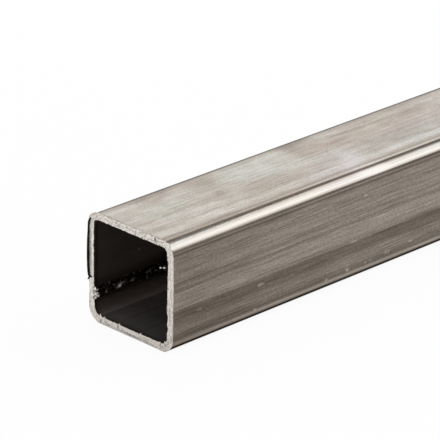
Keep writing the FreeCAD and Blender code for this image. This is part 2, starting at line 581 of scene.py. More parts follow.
@dataclass(frozen=True)
class RolledTop(RolledSteel):
    """The rolled strip where it lies on top: clouded and stained from handling."""

    name: ClassVar[str] = "rolled_mild_steel_top"
    # Some marks below are painted highlight and painted shade on the top front corner, as noted.
    marks: tuple[Mark, ...] = lay_marks(
        1,
        # Painted highlight: these two widen the front corner's bright band near the cut.
        (0, 53, 30, 0.35, 1.2), (0, 54.6, 42, 0.5, 2.3),
    ) + lay_marks(
        0.7,
        (2.9, 73.6, 5.1, 2.5, 1.17, -20.7), (10.3, 74.7, 6.5, 1, 0.82, -3.3),
        # Its last mark is painted shade on the top beside that band, near the cut.
        (11.7, 69.2, 11.3, 2.6, 1.14, -2.9), (12.9, 62.6, 23.9, 3.4, 1.12, -5.3), (10, 55.85, 50, 0.55, 0.63),
        (14.7, 75.6, 7.1, 4.5, 0.79, 2), (26, 65.4, 5.9, 2.5, 0.83, 14.5),
        (26.4, 73.6, 7.9, 6.1, 0.86, -22.5), (34.1, 70.6, 6.9, 6, 1.1, 2.4),
        (34.2, 57.9, 10.4, 2.5, 0.91, -4.5), (39.3, 61.4, 12, 5.8, 0.89, -27.4),
        (43.6, 71.6, 11.6, 7.5, 1.15, -4.5), (48.7, 66.2, 16.2, 3.4, 1.09, 4.1),
        (51.1, 73, 3.9, 3.4, 1.19, -39.1), (55.5, 67.7, 3.6, 3.4, 0.82, 10.1),
        (57.3, 74.9, 6.8, 3.6, 0.82, 15.2), (57.9, 63.2, 5.3, 3, 0.88, 39.5),
        (58, 65.9, 11.4, 1.2, 1.13, -1.5), (60.1, 55, 9.2, 3.4, 1.2, -19.2),
        # Its last mark is painted shade beside the front corner's bright band.
        (60.6, 69.6, 13.7, 6.5, 0.88, -40), (61.1, 62.4, 9.4, 5.6, 1.25, 29.3), (68, 56, 34, 0.5, 0.86),
        # Its last mark is painted highlight on that band.
        (72.1, 66, 12.6, 6.5, 0.94, -18.9), (73.9, 71.8, 15.2, 0.93, 0.82, -1.8), (75, 53.6, 42, 0.7, 1.08),
        (85.2, 70.2, 34.6, 2.9, 0.95, 1.8), (85.9, 66.1, 12, 6.1, 0.92, 31.8),
        # Its second mark is painted shade on the dark line beside that band.
        (86.2, 76, 18.1, 2.4, 0.88, -21.3), (95, 54.7, 48, 0.6, 0.6), (104.2, 71.7, 6.7, 8, 1.2, 9.1),
    ) + lay_marks(
        0.4,
        (7.8, 59.4, 2.6, 1, 0.87), (9.1, 63.9, 5.1, 0.85, 1.15), (12, 64.9, 17, 0.35, 0.85),
        (27.6, 70.6, 3.6, 1.6, 0.91, 22), (36, 65, 5, 0.4, 0.88), (42.1, 70.7, 11.3, 0.9, 1.08),
        (55.8, 74.5, 3.5, 2.9, 0.92, 40), (59.9, 60.5, 2.4, 4.1, 1.09, -40), (61.3, 69, 16, 1, 0.93),
        (66.4, 74, 5.8, 0.95, 1.12), (69.8, 71.9, 3.4, 0.45, 0.84, -6), (79.2, 63.3, 8.3, 0.8, 0.92),
        (80.8, 66.7, 19.1, 0.8, 0.93),
    ) + lay_marks(
        0.5,
        (26.4, 66, 1.8, 1.3, 0.86, 40), (60.2, 66.5, 0.4, 1.1, 0.8, -20),
    ) + lay_marks(
        0.6,
        (55, 52.1, 22, 0.22, 1.3),
    ) + lay_marks(
        0.3,
        (86, 71.4, 20, 0.4, 0.86, -1),
    )
    stains: tuple[tuple[str, Mark], ...] = (
        ("#FAFFFD", Mark(11.8, 66.7, 8.9, 5.4, 0, 5)),
        ("#FFFDFC", Mark(25, 60.8, 40, 8, 0, 0)),
        ("#F9FFFE", Mark(43.2, 71, 17.5, 8, 0, -4)),
        ("#FFFAF9", Mark(51.8, 70.5, 21.4, 4.6, 0, -3)),
        ("#FCFAFF", Mark(55.2, 59, 15.9, 8, 0, 30)),
        ("#FEFFFA", Mark(77.8, 70.6, 15.9, 3.9, 0, 4)),
        ("#FFFAFC", Mark(81.5, 68.3, 24.7, 6.1, 0, -2)),
        ("#FAFDFF", Mark(90, 60.6, 40, 5.9, 0, -6)),
        # Painted reflection: a cool tint on the painted dark line beside the front corner's bright band.
        ("#F0F7FF", Mark(95, 54.6, 48, 0.9, 0, 0)),
    )


@dataclass(frozen=True)
class RolledSides(RolledSteel):
    """The rolled strip on the other three sides: the open one is nicked and scuffed."""

    name: ClassVar[str] = "rolled_mild_steel_sides"
    marks: tuple[Mark, ...] = lay_marks(
        0.7,
        (3.7, 45.1, 10.8, 2.2, 0.87, 4), (7.7, 33, 40, 1.8, 0.9, 3), (12.1, 38.5, 29.1, 1.7, 1.19, 1),
        (26.2, 49.1, 40, 3.3, 1.07, -1), (45.1, 37.8, 40, 0.9, 1.16), (54.7, 46.2, 40, 1.3, 0.9, 1),
    ) + lay_marks(
        0.6,
        (7.7, 37.4, 1.2, 0.4, 1.6), (15.2, 41.4, 0.5, 0.4, 0.8), (24.4, 32.1, 0.6, 0.45, 1.8),
        (29, 49.3, 0.6, 0.9, 0.78), (35.5, 36.7, 1.2, 0.3, 1.2), (46.5, 32.2, 0.7, 0.36, 1.9),
        (47.4, 44.6, 1.6, 0.3, 1.2), (53, 33.2, 1, 0.3, 1.3), (53.2, 32.5, 0.6, 0.36, 2.8),
        (55, 38.8, 1.4, 0.32, 1.6), (57.8, 44.4, 1.9, 0.28, 1.22), (58.4, 48.7, 0.7, 0.25, 2, -8),
        (59, 32.6, 0.5, 0.36, 1.8), (60.4, 38.7, 1, 0.3, 1.35), (60.6, 32.7, 0.5, 0.36, 1.8),
        (66, 33.1, 1.3, 0.55, 1.9), (66.1, 33.2, 0.6, 0.25, 0.45), (73.2, 44.1, 1.5, 0.34, 1.22),
        (73.5, 41, 3, 0.3, 1.18), (73.6, 33.5, 0.9, 0.3, 2),
    ) + lay_marks(
        0.5,
        (26.2, 37.3, 1.4, 0.4, 2.4), (38.5, 47.5, 6.5, 0.2, 1.2),
    )


@dataclass(frozen=True)
class BoreSteel(Finish):
    """The strip's other side, inside the tube: brown-black oxide and oil, hardly metallic.

    Args:
        oxide: Colour of the walls.
        floor: Colour of the lower wall, a purplish grey.
        floor_side: Where across the strip that wall lies.
        tones: Brightness across the strip: painted shadow beside the weld, and a painted highlight in
            the lower corner, brightest in a line where it meets the lower wall.
        depths: Brightness along the tube: painted shade just behind each cut, and painted light
            deeper in, against the dimming of the bore.
        shine: How much it shines at a grazing look along the tube: lowered at the cut's inner edge as
            painted shade.
        metallic: How metallic it is.
        roughness: Its roughness.
        lines: The drawn lines.
        blotches: The oxide's blotches.
        marks: Streaks on the lower wall.
    """

    name: ClassVar[str] = "oxidised_bore_steel"
    oxide: str = "#584E47"
    floor: str = "#7A7273"
    floor_side: Stops = ((0, 0), (4.5, 0), (8.2, 1), (26, 1), (28, 0), (95.94, 0))
    tones: Stops = (
        (0, 0.4), (1.5, 0.4), (2.2, 1.1), (3.5, 2.1), (7.2, 2.1), (7.8, 2.5), (8.5, 1.15), (13, 1),
        (20, 0.85), (26, 0.75), (92.2, 1), (93.3, 0.6), (94.4, 0.4), (95.94, 0.4),
    )
    depths: Stops = (
        (0, 0.12), (0.7, 0.35), (1.8, 0.58), (5, 0.64), (9, 0.82), (14, 1.15), (22, 1.5), (282.8, 1.3),
        (300.8, 0.68), (304.8, 0.62),
    )
    shine: Stops = ((0, 0.2), (0.15, 0.2), (1.2, 1), (304.8, 1))
    metallic: float = 0.15
    roughness: float = 0.5
    lines: Pattern = Pattern((20.0, 0.6), 0.08)
    blotches: Pattern = Pattern((6.0, 4.0), 0.08, 4.0)
    marks: tuple[Mark, ...] = lay_marks(
        0.6,
        (10, 12.6, 16, 0.5, 1.15), (10, 13.4, 16, 0.35, 0.8), (10, 14.4, 16, 0.3, 1.1),
        (10, 19.7, 16, 0.5, 0.8), (13, 89.5, 0.35, 0.3, 4),
    )

    def paint(self, painter: Painter, place: Source) -> Node:
        """Draws the oxide with its faint lengthwise lines.

        Args:
            painter: The painter of its material.
            place: The place on the flat strip, in mm.

        Returns:
            The shader.
        """
        run, across, _ = painter.add("SeparateXYZ", inputs={0: place}).outputs
        tone = painter.product(painter.grade(across, self.tones), painter.grade(run, self.depths))
        for pattern in (self.lines, self.blotches):
            tone = painter.vary(tone, painter.draw(place, pattern), pattern.depth)
        tone = painter.add_marks(tone, place, self.marks)
        base = painter.add("Mix", BLENDED, {
            "Factor": painter.grade(across, self.floor_side), "A": self.oxide, "B": self.floor})
        colour = painter.add("Mix", MULTIPLIED, {"Factor": 1.0, "A": base, "B": tone})
        return painter.add("BsdfPrincipled", inputs={
            "Base Color": colour, "Metallic": self.metallic, "Roughness": self.roughness,
            "Specular Tint": painter.grade(run, self.shine)})


@dataclass(frozen=True)
class SawnSteel(Finish):
    """Mild steel freshly cut by a saw: bright, streaked by the blade and torn into flecks.

    Args:
        bright: Its colour.
        tones: Brightness from the outer edge of the rim to the inner one; the brighter inner edge is a
            painted highlight where the burr catches the light.
        streaks: The blade's streaks, their size given across and along them.
        grain: The torn grain.
        flecks: The torn flecks that catch the light, and the pits beside them.
        fleck_edges: How far the flecks' edges are shifted, by noise of 1 mm.
        torn: How torn the rim is, round its girth: most along the top.
        burred: How far the bright serrated burr shows, by depth into the wall.
        teeth: The burr's teeth.
        marks: Stains and pits on the near rim, and painted light and shade on it, placed by depth into
            the wall and girth.
        brightest: The brightest tone, short of where the colour would clip.
        roughness: Its roughness.
        burr_metallic: How metallic the burr is: being ragged, it scatters light as paint does.
    """

    name: ClassVar[str] = "sawn_mild_steel"
    bright: str = "#E0DAD3"
    tones: Stops = (
        (0, 0.97), (0.2, 0.97), (0.45, 1.05), (0.8, 0.95), (1.1, 0.95), (1.3, 1.08), (1.45, 1.3), (1.65, 1.3),
    )
    streaks: Pattern = Pattern((0.34, 4.0), 0.24, 3.0, 0.03)
    grain: Pattern = Pattern((0.4, 0.6), 0.14, 3.0)
    flecks: Pattern = Pattern((0.34, 0.8), 0.55, 1.0, 0.035)
    fleck_edges: float = 0.4
    torn: Stops = (
        (0, 0.3), (8, 0.3), (9, 0.5), (28, 0.5), (31, 0.25), (51, 0.25), (55, 0.65), (76, 0.65), (79, 0.3),
        (96, 0.3), (300, 0.4),
    )
    burred: Stops = ((0, 0), (1.25, 0), (1.45, 1), (1.65, 1))
    teeth: Pattern = Pattern((2.0, 0.7), 0.7)
    marks: tuple[Mark, ...] = lay_marks(
        0.5,
        # These five are painted light and shade: darker outer strips on the lower and back rims, in shadow,
        # and lighter inner edges where the burr catches the light.
        (0.4, 17.8, 0.35, 9.5, 0.72), (0.1, 87, 0.8, 7.5, 0.58), (1.1, 18, 0.6, 10.5, 1.22),
        (1.45, 18, 0.32, 10.5, 1.22), (1.25, 41.5, 0.35, 11, 1.16),
    ) + lay_marks(
        0.7,
        (0.65, 58.5, 0.6, 0.45, 0.2), (0.5, 32.6, 0.35, 0.9, 0.66), (0.45, 65, 0.22, 9, 1.08),
    ) + lay_marks(
        0.6,
        (0.95, 13.9, 0.75, 0.3, 0.4), (1.35, 26.8, 0.6, 0.25, 0.4), (0.4, 8.6, 0.6, 0.3, 0.4),
        (0.3, 17.6, 0.35, 0.6, 0.6), (0.1, 28.8, 0.3, 1.2, 0.7), (0.1, 2.4, 0.5, 0.25, 0.5),
        # Its last mark is a painted highlight on the back rim's inner edge.
        (0.2, 77.4, 0.7, 1.8, 0.8), (1.05, 87, 0.35, 7.5, 1.35),
    )
    brightest: float = 1.3
    roughness: float = 0.42
    burr_metallic: float = 0.3

    def paint(self, painter: Painter, place: Source) -> Node:
        """Draws streaks, torn grain, flecks and marks.

        Args:
            painter: The painter of its material.
            place: Depth into the wall and girth, in mm.

        Returns:
            The shader.
        """
        depth, girth, _ = painter.add("SeparateXYZ", inputs={0: place}).outputs
        streaks = painter.draw(place, self.streaks)
        grain = painter.draw(place, self.grain)
        flecks = painter.draw(painter.shift(place, (1.0, 1.0), self.fleck_edges), self.flecks)
        burr = painter.grade(depth, self.burred)
        tone = painter.vary(painter.grade(depth, self.tones), streaks, self.streaks.depth)
        tone = painter.vary(tone, grain, self.grain.depth)
        tone = painter.vary(tone, flecks, self.flecks.depth, painter.grade(girth, self.torn))
        tone = painter.vary(tone, painter.draw(place, self.teeth), self.teeth.depth, burr)
        tone = painter.add("Math", {"operation": "MINIMUM"}, {
            0: painter.add_marks(tone, place, self.marks), 1: self.brightest})
        colour = painter.add("Mix", MULTIPLIED, {"Factor": 1.0, "A": self.bright, "B": tone})
        streaked = painter.add("Bump", inputs={"Distance": self.streaks.press * MM, "Height": streaks})
        torn = painter.add("Bump", inputs={
            "Distance": self.flecks.press * MM, "Height": flecks, "Normal": streaked})
        return painter.add("BsdfPrincipled", inputs={
            "Base Color": colour, "Roughness": self.roughness, "Normal": torn,
            "Metallic": painter.spread(burr, 1.0, self.burr_metallic, 0.0, 1.0)})


@dataclass(frozen=True)
class WeldScale(Finish):
    """Weld metal squeezed out and left to cool: black glassy scale with bright flecks.

    Args:
        scale: Colour of the scale.
        fleck: Colour of bare weld metal where the scale has popped off, drawn near white so that the
            flecks also serve as painted glints.
        flecks: The noise whose peaks are the flecks.
        bare_from: From where to where that noise bares the metal.
        least_scale: How much of the scale stays at its peaks.
        chips: Where it has chipped off down to bright metal, drawn as painted glints.
        marks: Where along the bead it is barer, and where the scale is whole.
        lumps: The scale's lumps.
        rough: Roughness of whole scale and of bare metal.
        metallic: How metallic whole scale is, and the bare metal, which is torn and scatters light.
    """

    name: ClassVar[str] = "black_weld_scale"
    scale: str = "#57473C"
    fleck: str = "#FCF9F4"
    flecks: Pattern = Pattern((0.9, 0.5), detail=4.0)
    bare_from: Pair = (0.53, 0.72)
    least_scale: float = 0.35
    chips: tuple[Mark, ...] = lay_marks(
        0.2,
        (-0.4, 7.6, 0.5, 0.42, 0), (-0.15, 6.7, 0.45, 0.35, 0), (-0.8, 6.3, 0.4, 0.3, 0),
    ) + lay_marks(
        0.3,
        (-0.4, 5.45, 0.7, 0.5, 0.4),
    ) + lay_marks(
        0.5,
        (0.3, 7.4, 0.4, 0.25, 0.2), (0.35, 6, 0.6, 0.3, 0.1, -30), (6.9, 6.5, 0.95, 0.65, 0, 30),
    ) + lay_marks(
        0.7,
        (19.2, 6.9, 0.8, 0.35, 0.2, -25), (20.6, 6.2, 0.9, 0.4, 0.1, -25),
    )
    marks: tuple[Mark, ...] = lay_marks(
        0.4,
        (0.8, 6.5, 2, 1.6, 0.8),
    ) + lay_marks(
        0.6,
        (2.7, 6.5, 1.2, 0.8, 1.12), (7.2, 6.5, 2, 1.1, 1.22), (10.3, 6.7, 1.4, 0.6, 1.12),
        (16, 6.8, 2.2, 0.9, 1.12), (20, 6.4, 1.8, 0.9, 1.25),
    ) + lay_marks(
        0.5,
        (13, 6.5, 1.4, 1.6, 0.88), (4.2, 6.4, 0.8, 1.6, 0.85),
    )
    lumps: Pattern = Pattern((0.7, 0.5), press=0.2)
    rough: Pair = (0.3, 0.45)
    metallic: Pair = (1.0, 0.15)

    def paint(self, painter: Painter, place: Source) -> Node:
        """Draws the scale and its flecks.

        Args:
            painter: The painter of its material.
            place: The place on the flat strip, in mm.

        Returns:
            The shader.
        """
        flecks = painter.add_marks(painter.draw(place, self.flecks), place, self.marks)
        crazed = painter.spread(flecks, 1.0, self.least_scale, *self.bare_from)
        whole = painter.add_marks(crazed, place, self.chips)
        bare = painter.add("Math", {"operation": "SUBTRACT"}, {0: 1.0, 1: whole})
        return painter.add("BsdfPrincipled", inputs={
            "Base Color": painter.add("Mix", BLENDED, {"Factor": bare, "A": self.scale, "B": self.fleck}),
            "Roughness": painter.spread(bare, *self.rough, 0.0, 1.0),
            "Metallic": painter.spread(bare, *self.metallic, 0.0, 1.0),
            "Normal": painter.add("Bump", inputs={
                "Distance": self.lumps.press * MM, "Height": painter.draw(place, self.lumps)})})


@dataclass(frozen=True)
class BurntBurr(Finish):
    """A curl of steel that the saw left on the cut, drawn near black.

    Args:
        colour: Its colour.
        roughness: Its roughness.
        spots: How far its spots, of half a millimetre, lighten and darken it.
    """

    name: ClassVar[str] = "dark_saw_burr"
    colour: str = "#1F1B18"
    roughness: float = 0.5
    spots: float = 0.3

    def paint(self, painter: Painter, place: Source) -> Node:
        """Draws the spotted steel.

        Args:
            painter: The painter of its material.
            place: Not used: the burr lies off the strip.

        Returns:
            The shader.
        """
        own = painter.add("TexCoord").outputs["Object"]
        spots = painter.add("TexNoise", inputs={"Vector": own, "Scale": 2 / MM})
        tone = painter.spread(spots, 1 - self.spots, 1 + self.spots)
        colour = painter.add("Mix", MULTIPLIED, {"Factor": 1.0, "A": self.colour, "B": tone})
        return painter.add("BsdfPrincipled", inputs={
            "Base Color": colour, "Metallic": 1.0, "Roughness": self.roughness})


@dataclass(frozen=True)
class BrightBurr(BurntBurr):
    """A curl of weld metal freshly torn by the saw, as bright as the cut."""

    name: ClassVar[str] = "bright_saw_burr"
    colour: str = "#FFFDFA"
    roughness: float = 0.22


@dataclass(frozen=True)
class Outline:
    """A closed outline of points with their outward directions.

    Args:
        points: Each point as (y, z).
        outward: Each point's outward direction.
        travelled: Each point's distance from the first, and last the whole way round.
    """

    points: np.ndarray
    outward: np.ndarray
    travelled: np.ndarray


@dataclass(frozen=True)
class TubeSection:
    """The tube's section, walked once round from the weld seam as the flat strip ran.

    Args:
        side: Outside width and height, in metres.
        wall: Wall thickness.
        corner: Outside corner radius.
        seam_level: Height of the weld seam above the underside.
        step: Distance between points of the outline.
    """

    side: float
    wall: float = 1.65 * MM
    corner: float = 3.3 * MM
    seam_level: float = 6.5 * MM
    step: float = 0.2 * MM

    def straight(self, start: Pair, end: Pair, out: tuple[int, int]) -> Outline:
        """Walks a flat, its last point left to the next stretch.

        Args:
            start: Where it starts.
            end: Where it ends.
            out: The flat's outward direction.

        Returns:
            The stretch.
        """
        span = math.dist(start, end)
        shares = np.linspace(0, 1, round(span / self.step), endpoint=False)
        points = np.outer(1 - shares, start) + np.outer(shares, end)
        return Outline(points, np.tile(np.array(out, float), (len(shares), 1)), np.append(shares, 1) * span)

    def bend(self, centre: Pair, start_degrees: float) -> Outline:
        """Walks a corner that turns a quarter clockwise.

        Args:
            centre: The middle of its radius.
            start_degrees: The outward direction where it starts.

        Returns:
            The stretch.
        """
        span = self.corner * math.pi / 2
        shares = np.linspace(0, 1, round(span / self.step), endpoint=False)
        angles = np.radians(start_degrees - 90 * shares)
        outward = np.stack([np.cos(angles), np.sin(angles)], axis=1)
        return Outline(np.array(centre) + self.corner * outward, outward, np.append(shares, 1) * span)

    def outline(self) -> Outline:
        """Walks from the seam down, under the tube, up its open side and over its top.

        Returns:
            The closed outline.
        """
        half = self.side / 2
        flat = half - self.corner
        low, high = self.corner, self.side - self.corner
        stretches = [
            self.straight((half, self.seam_level), (half, low), (1, 0)),
            self.bend((flat, low), 0),
            self.straight((flat, 0), (-flat, 0), (0, -1)),
            self.bend((-flat, low), -90),
            self.straight((-half, low), (-half, high), (-1, 0)),
            self.bend((-flat, high), 180),
            self.straight((-flat, self.side), (flat, self.side), (0, 1)),
            self.bend((flat, high), 90),
            self.straight((half, high), (half, self.seam_level), (1, 0)),
        ]
        starts = np.cumsum([0.0] + [stretch.travelled[-1] for stretch in stretches])
        travelled = [stretch.travelled[:-1] + start for stretch, start in zip(stretches, starts)]
        return Outline(
            np.concatenate([stretch.points for stretch in stretches]),
            np.concatenate([stretch.outward for stretch in stretches]),
            np.append(np.concatenate(travelled), starts[-1]),
        )


@dataclass(frozen=True)
class Bumps:
    """Smooth bumps and hollows on a mesh, the same at every run.

    Args:
        reach: How far they go each way, in mm or as a share of the height that they change.
        size: The size of the largest, in mm.
        pick: A number that picks one such noise among many.
    """

    reach: float
    size: float
    pick: float

    def at(self, *place: float) -> float:
        """Gives how far they go at one or two coordinates in mm."""
        return self.reach * noise.fractal(Vector([*place, self.pick, 0.0][:3]) / self.size, 0.9, 2.0, 3)


@dataclass
class TubePiece:
    """One piece of what shows of the tube.

    Args:
        finishes: Its finishes, one for each material slot.
        section: The tube's section.
        piece: Its object, once it is built.
    """

    finishes: ClassVar[tuple[Finish, ...]]
    section: TubeSection
    piece: bpy.types.Object | None = field(default=None, init=False)

    def dress(self) -> None:
        """Gives the piece its finishes and ties it to the tube."""
        piece = self.piece
        for finish in self.finishes:
            piece.data.materials.append(finish.build())
        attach(piece, "root")
        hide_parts(TUBE_NODE)


@dataclass(frozen=True)
class TornRim:
    """How the saw left one end: its edges, its burrs and the relief of the cut.

    Args:
        end: Which end of the tube.
        inner_burr: Girth and how far the inner edge leans into the bore there, in mm.
        outer_lip: Girth and how far the outer edge is pushed outwards there, in mm.
        edge_break: How far the outer edge is worn back, in mm.
        wear: How unevenly it is worn.
        tear: The torn grains that stand out of the cut along that edge.
        relief: The saw's relief on the cut.
        inner_relief: The coarser relief along the inner edge.
        raggedness: How the inner edge wanders.
        waviness: How the outer edge wanders.
    """

    end: TubeEnd
    inner_burr: Stops = ((0.0, 0.0), (96.0, 0.0))
    outer_lip: Stops = ((0.0, 0.0), (96.0, 0.0))
    edge_break: float = 0.012
    wear: Bumps = Bumps(0.012, 0.8, 1.0)
    tear: Bumps = Bumps(0.07, 0.5, 13.0)
    relief: Bumps = Bumps(0.035, 0.6, 5.0)
    inner_relief: Bumps = Bumps(0.07, 1.1, 7.0)
    raggedness: Bumps = Bumps(0.09, 0.9, 3.0)
    waviness: Bumps = Bumps(0.03, 0.7, 9.0)

    def ring(self, outline: Outline, plane: float, wall: float, share: float) -> np.ndarray:
        """Gives one ring of the rim.

        Args:
            outline: The tube's outline.
            plane: X of the cut.
            wall: The wall's thickness.
            share: 0 at the outer edge, 1 at the inner one.

        Returns:
            The ring's points as (x, y, z).
        """
        girth = outline.travelled[:-1] / MM
        leans = np.interp(girth, *zip(*self.inner_burr))
        lips = np.interp(girth, *zip(*self.outer_lip))
        points = []
        for (y, z), out, at, lean, lip in zip(outline.points, outline.outward, girth, leans, lips):
            spot = at + self.end.strip_start
            inward = (lean + self.raggedness.at(spot)) * share ** 4
            outward = lip * (1 - share) ** 2 + self.waviness.at(spot) * (1 - share) ** 4
            depth = wall * share + (inward - outward) * MM
            rise = self.relief.at(spot, depth / MM) + self.inner_relief.at(spot) * share ** 8
            rise -= (self.edge_break + self.wear.at(spot)) * (1 - share) ** 12
            rise += abs(self.tear.at(spot, depth / MM)) * (1 - share) ** 3
            points.append((plane + self.end.sign * rise * MM, y - out[0] * depth, z - out[1] * depth))
        return np.array(points)


@dataclass
class TubeWall(TubePiece):
    """The tube itself: one closed mesh of outside, bore and two sawn rims.

    Args:
        length: Cut length.
        rims: The near and the far rim.
        end_reach: How far from each end the mesh is fine.
        end_step: Distance between rings there.
        plain_step: Distance between rings elsewhere.
        rim_shares: Where the rings of a rim lie, from its outer edge to its inner one.
        top_reach: From where to where on the strip the top's finish goes, in mm.
    """

    finishes: ClassVar[tuple[Finish, ...]] = (RolledTop(), RolledSides(), BoreSteel(), SawnSteel())
    length: float
    rims: tuple[TornRim, TornRim]
    end_reach: float = 0.72 * MM
    end_step: float = 0.12 * MM
    plain_step: float = 20.0 * MM
    rim_shares: tuple[float, ...] = (0.0, 0.05, 0.15, 0.27, 0.39, 0.51, 0.63, 0.75, 0.86, 0.95, 1.0)
    top_reach: Pair = (51.6, 80.2)

    def build(self) -> None:
        """Makes the mesh, walking once round the wall: outside, far rim, bore, near rim."""
        outline = self.section.outline()
        wall, half = self.section.wall, self.length / 2
        near, far = self.rims
        near_rings = [near.ring(outline, -half, wall, share) for share in self.rim_shares]
        far_rings = [far.ring(outline, half, wall, share) for share in self.rim_shares]
        inner = outline.points - outline.outward * wall
        between = space_rings(
            self.length, self.end_step, self.end_reach, self.end_step, round(self.length / self.plain_step))
        outside = [np.column_stack([np.full(len(inner), x), outline.points]) for x in between]
        bore = [np.column_stack([np.full(len(inner), x), inner]) for x in between[::-1]]

        rings = [near_rings[0], *outside, *far_rings, *bore, *near_rings[:0:-1]]
        runs = [0.0, *(between + half) / MM, self.length / MM]
        depths = [share * wall / MM for share in self.rim_shares]
        joins = [(WallFace.SIDES, pair, 0.0) for pair in zip(runs, runs[1:])]
        joins += [(WallFace.SAWN, pair, TubeEnd.FAR.strip_start) for pair in zip(depths, depths[1:])]
        joins += [(WallFace.BORE, pair, 0.0) for pair in zip(runs[::-1], runs[-2::-1])]
        joins += [(WallFace.SAWN, pair, 0.0) for pair in zip(depths[::-1], depths[-2::-1])]

        girth = outline.travelled / MM
        slots, places = [], []
        for slot, (start, end), offset in joins:
            for low, high in zip(girth, girth[1:]):
                on_top = slot == WallFace.SIDES and self.top_reach[0] < low < self.top_reach[1]
                slots.append(WallFace.TOP if on_top else slot)
                low, high = low + offset, high + offset
                places += [(start, low), (end, low), (end, high), (start, high)]

        faces = join_rings(len(rings), len(inner), closed=True)
        self.piece = make_piece("tube_wall", np.concatenate(rings), faces, slots, places)


@dataclass
class WeldFlash(TubePiece):
    """The bead of weld metal squeezed out along the seam, inside the tube.

    Args:
        length: Cut length.
        width: The bead's width at the wall.
        height: How far it stands into the bore in full.
        usual: Its usual height, as a share of that.
        least: Its least height, likewise.
        most: Its greatest height, likewise.
        lumps: Its lumps.
        curls: The torn curls on them.
        tear: How much the saw's tear adds, how far behind the near end it is, and how far it reaches.
        roundness: The power that rounds its crest.
        root: How far it reaches into the wall, as a share of the wall's thickness.
        points_across: Points of its surface from one side to the other.
        fine_reach: How far from each end it is modelled finely.
        fine_step: Distance between its rings there.
        plain_step: Distance between its rings elsewhere.
    """

    finishes: ClassVar[tuple[Finish, ...]] = (WeldScale(),)
    length: float
    width: float = 2.8 * MM
    height: float = 0.7 * MM
    usual: float = 0.62
    least: float = 0.15
    most: float = 1.1
    lumps: Bumps = Bumps(0.3, 1.6, 2.0)
    curls: Bumps = Bumps(0.55, 0.8, 11.0)
    tear: tuple[float, float, float] = (0.6, 0.5, 0.7)
    roundness: float = 0.6
    root: float = 0.3
    points_across: int = 13
    fine_reach: float = 30.0 * MM
    fine_step: float = 0.25 * MM
    plain_step: float = 0.8 * MM

    def stand(self, run: float, share: float) -> float:
        """Gives how far the bead stands off the wall: furthest where the saw tore its near end.

        Args:
            run: Distance from the near end, in mm.
            share: From -1 at its lower side to 1 at its upper one.

        Returns:
            The height in metres.
        """
        level = share * self.width / 2 / MM
        swell = self.usual + self.lumps.at(run, level) + abs(self.curls.at(run, level))
        added, middle, reach = self.tear
        torn = added * max(0.0, 1.0 - abs(run - middle) / reach)
        crest = (1 - share ** 2) ** self.roundness
        return self.height * crest * (min(self.most, max(self.least, swell)) + torn)

    def build(self) -> None:
        """Makes the mesh: rings of points along the tube, and a face at each end."""
        face = self.section.side / 2 - self.section.wall
        root = face + self.root * self.section.wall
        shares = np.linspace(-1, 1, self.points_across)
        levels = self.section.seam_level + shares * self.width / 2
        count = round((self.length - 2 * self.fine_reach) / self.plain_step)
        rings = space_rings(self.length, 0.0, self.fine_reach, self.fine_step, count)
        runs = (rings + self.length / 2) / MM
        points, places = [], []
        for x, run in zip(rings, runs):
            points += [(x, face - self.stand(run, share), z) for share, z in zip(shares, levels)]
            points += [(x, root, levels[-1]), (x, root, levels[0])]
        across = np.array([*levels, levels[-1], levels[0], levels[0]]) / MM
        for here, there in zip(runs, runs[1:]):
            for low, high in zip(across, across[1:]):
                places += [(here, low), (there, low), (there, high), (here, high)]
        count = self.points_across + 2
        last = (len(rings) - 1) * count
        ends = tuple(range(count)), tuple(range(last, last + count))[::-1]
        for end, run in zip(ends, (0.0, self.length / MM)):
            places += [(run - (face - points[k][1]) / MM, points[k][2] / MM) for k in end]
        faces = [*join_rings(len(rings), count), *ends]
        self.piece = make_piece("weld_flash", np.array(points), faces, [0] * len(faces), places)


